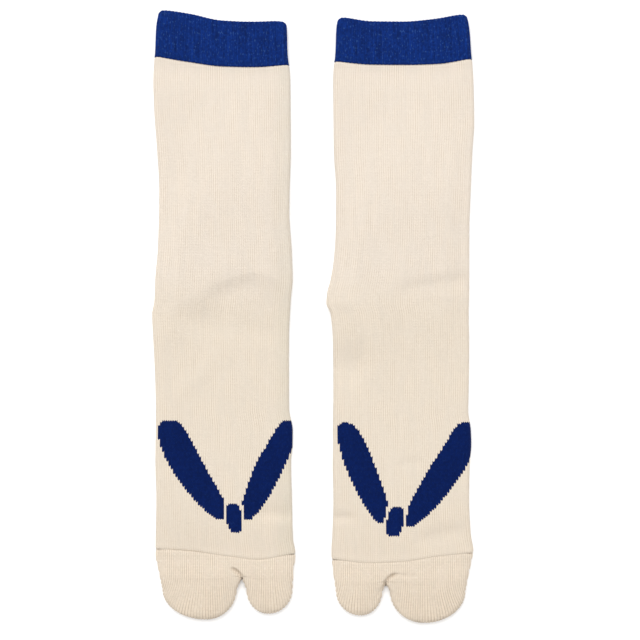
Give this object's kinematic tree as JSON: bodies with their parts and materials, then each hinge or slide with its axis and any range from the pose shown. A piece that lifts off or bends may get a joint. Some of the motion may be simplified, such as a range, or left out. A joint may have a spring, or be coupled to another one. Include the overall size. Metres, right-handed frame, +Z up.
{
  "type": "pair of tabi socks",
  "caption": "Pair of calf-high knitted tabi socks with ribbed cuffs and split toes, laid flat side by side with the insteps up.",
  "frame": {"origin": "centre of the pair's footprint, on the surface that the socks lie on", "axes": "+X across the pair towards the left-foot sock, +Y along the socks from the toes to the cuffs, +Z up through the insteps"},
  "size_m": [0.2015, 0.3832, 0.0073],
  "materials": {
    "cream_knit": "matte plain knit",
    "toe_knit": "matte dense knit",
    "navy_rib": "matte ribbed knit"
  },
  "bodies": {
    "root": {"cuff_right": "navy_rib", "leg_foot_right": "cream_knit", "toe_right": "toe_knit", "cuff_left": "navy_rib", "leg_foot_left": "cream_knit", "toe_left": "toe_knit"}
  },
  "joints": []
}
